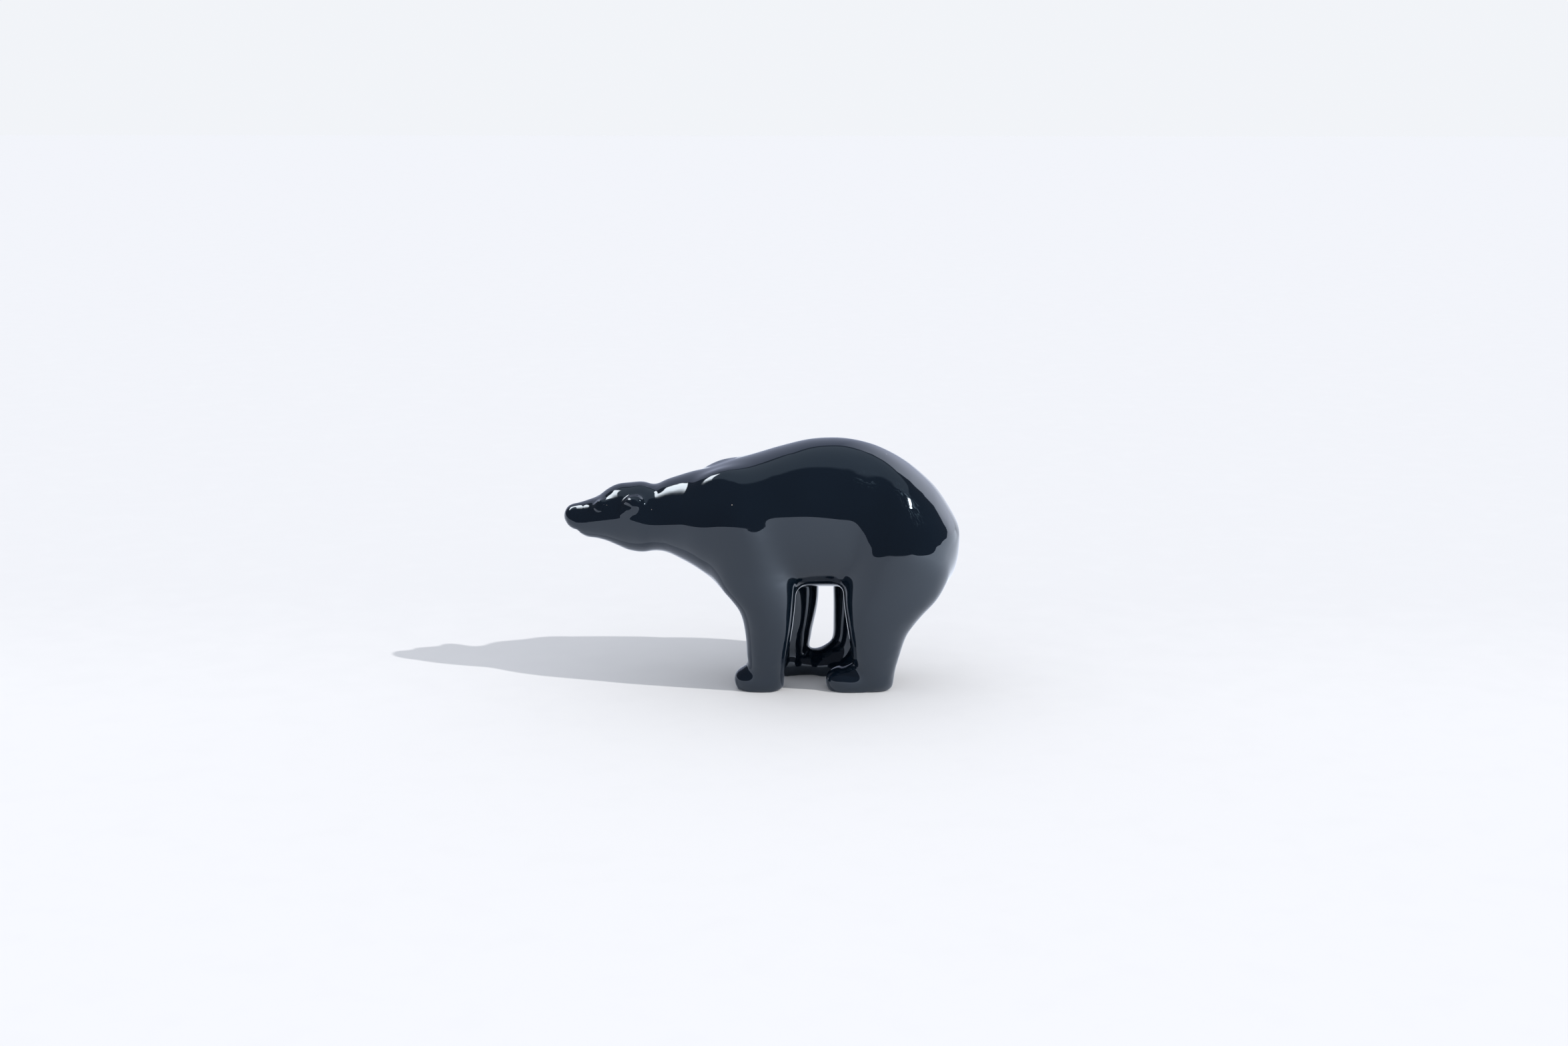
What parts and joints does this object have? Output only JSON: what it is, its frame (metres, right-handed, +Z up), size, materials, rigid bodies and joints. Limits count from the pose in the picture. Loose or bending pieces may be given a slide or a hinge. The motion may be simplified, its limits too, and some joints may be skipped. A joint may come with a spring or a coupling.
{
  "type": "polar bear figurine",
  "caption": "Striding polar bear figurine cut and polished from one piece of opaque black crystal, standing on its own flat soles with head and neck stretched forward.",
  "frame": {"origin": "the middle of the animal's length and width, on the plane it stands on", "axes": "-X towards the nose and +X towards the rump, +Y towards the animal's own right side, +Z up"},
  "size_m": [0.1654, 0.0634, 0.1041],
  "materials": {
    "black_crystal": "opaque, mirror polished"
  },
  "bodies": {
    "root": {"polar_bear": "black_crystal"}
  },
  "joints": []
}
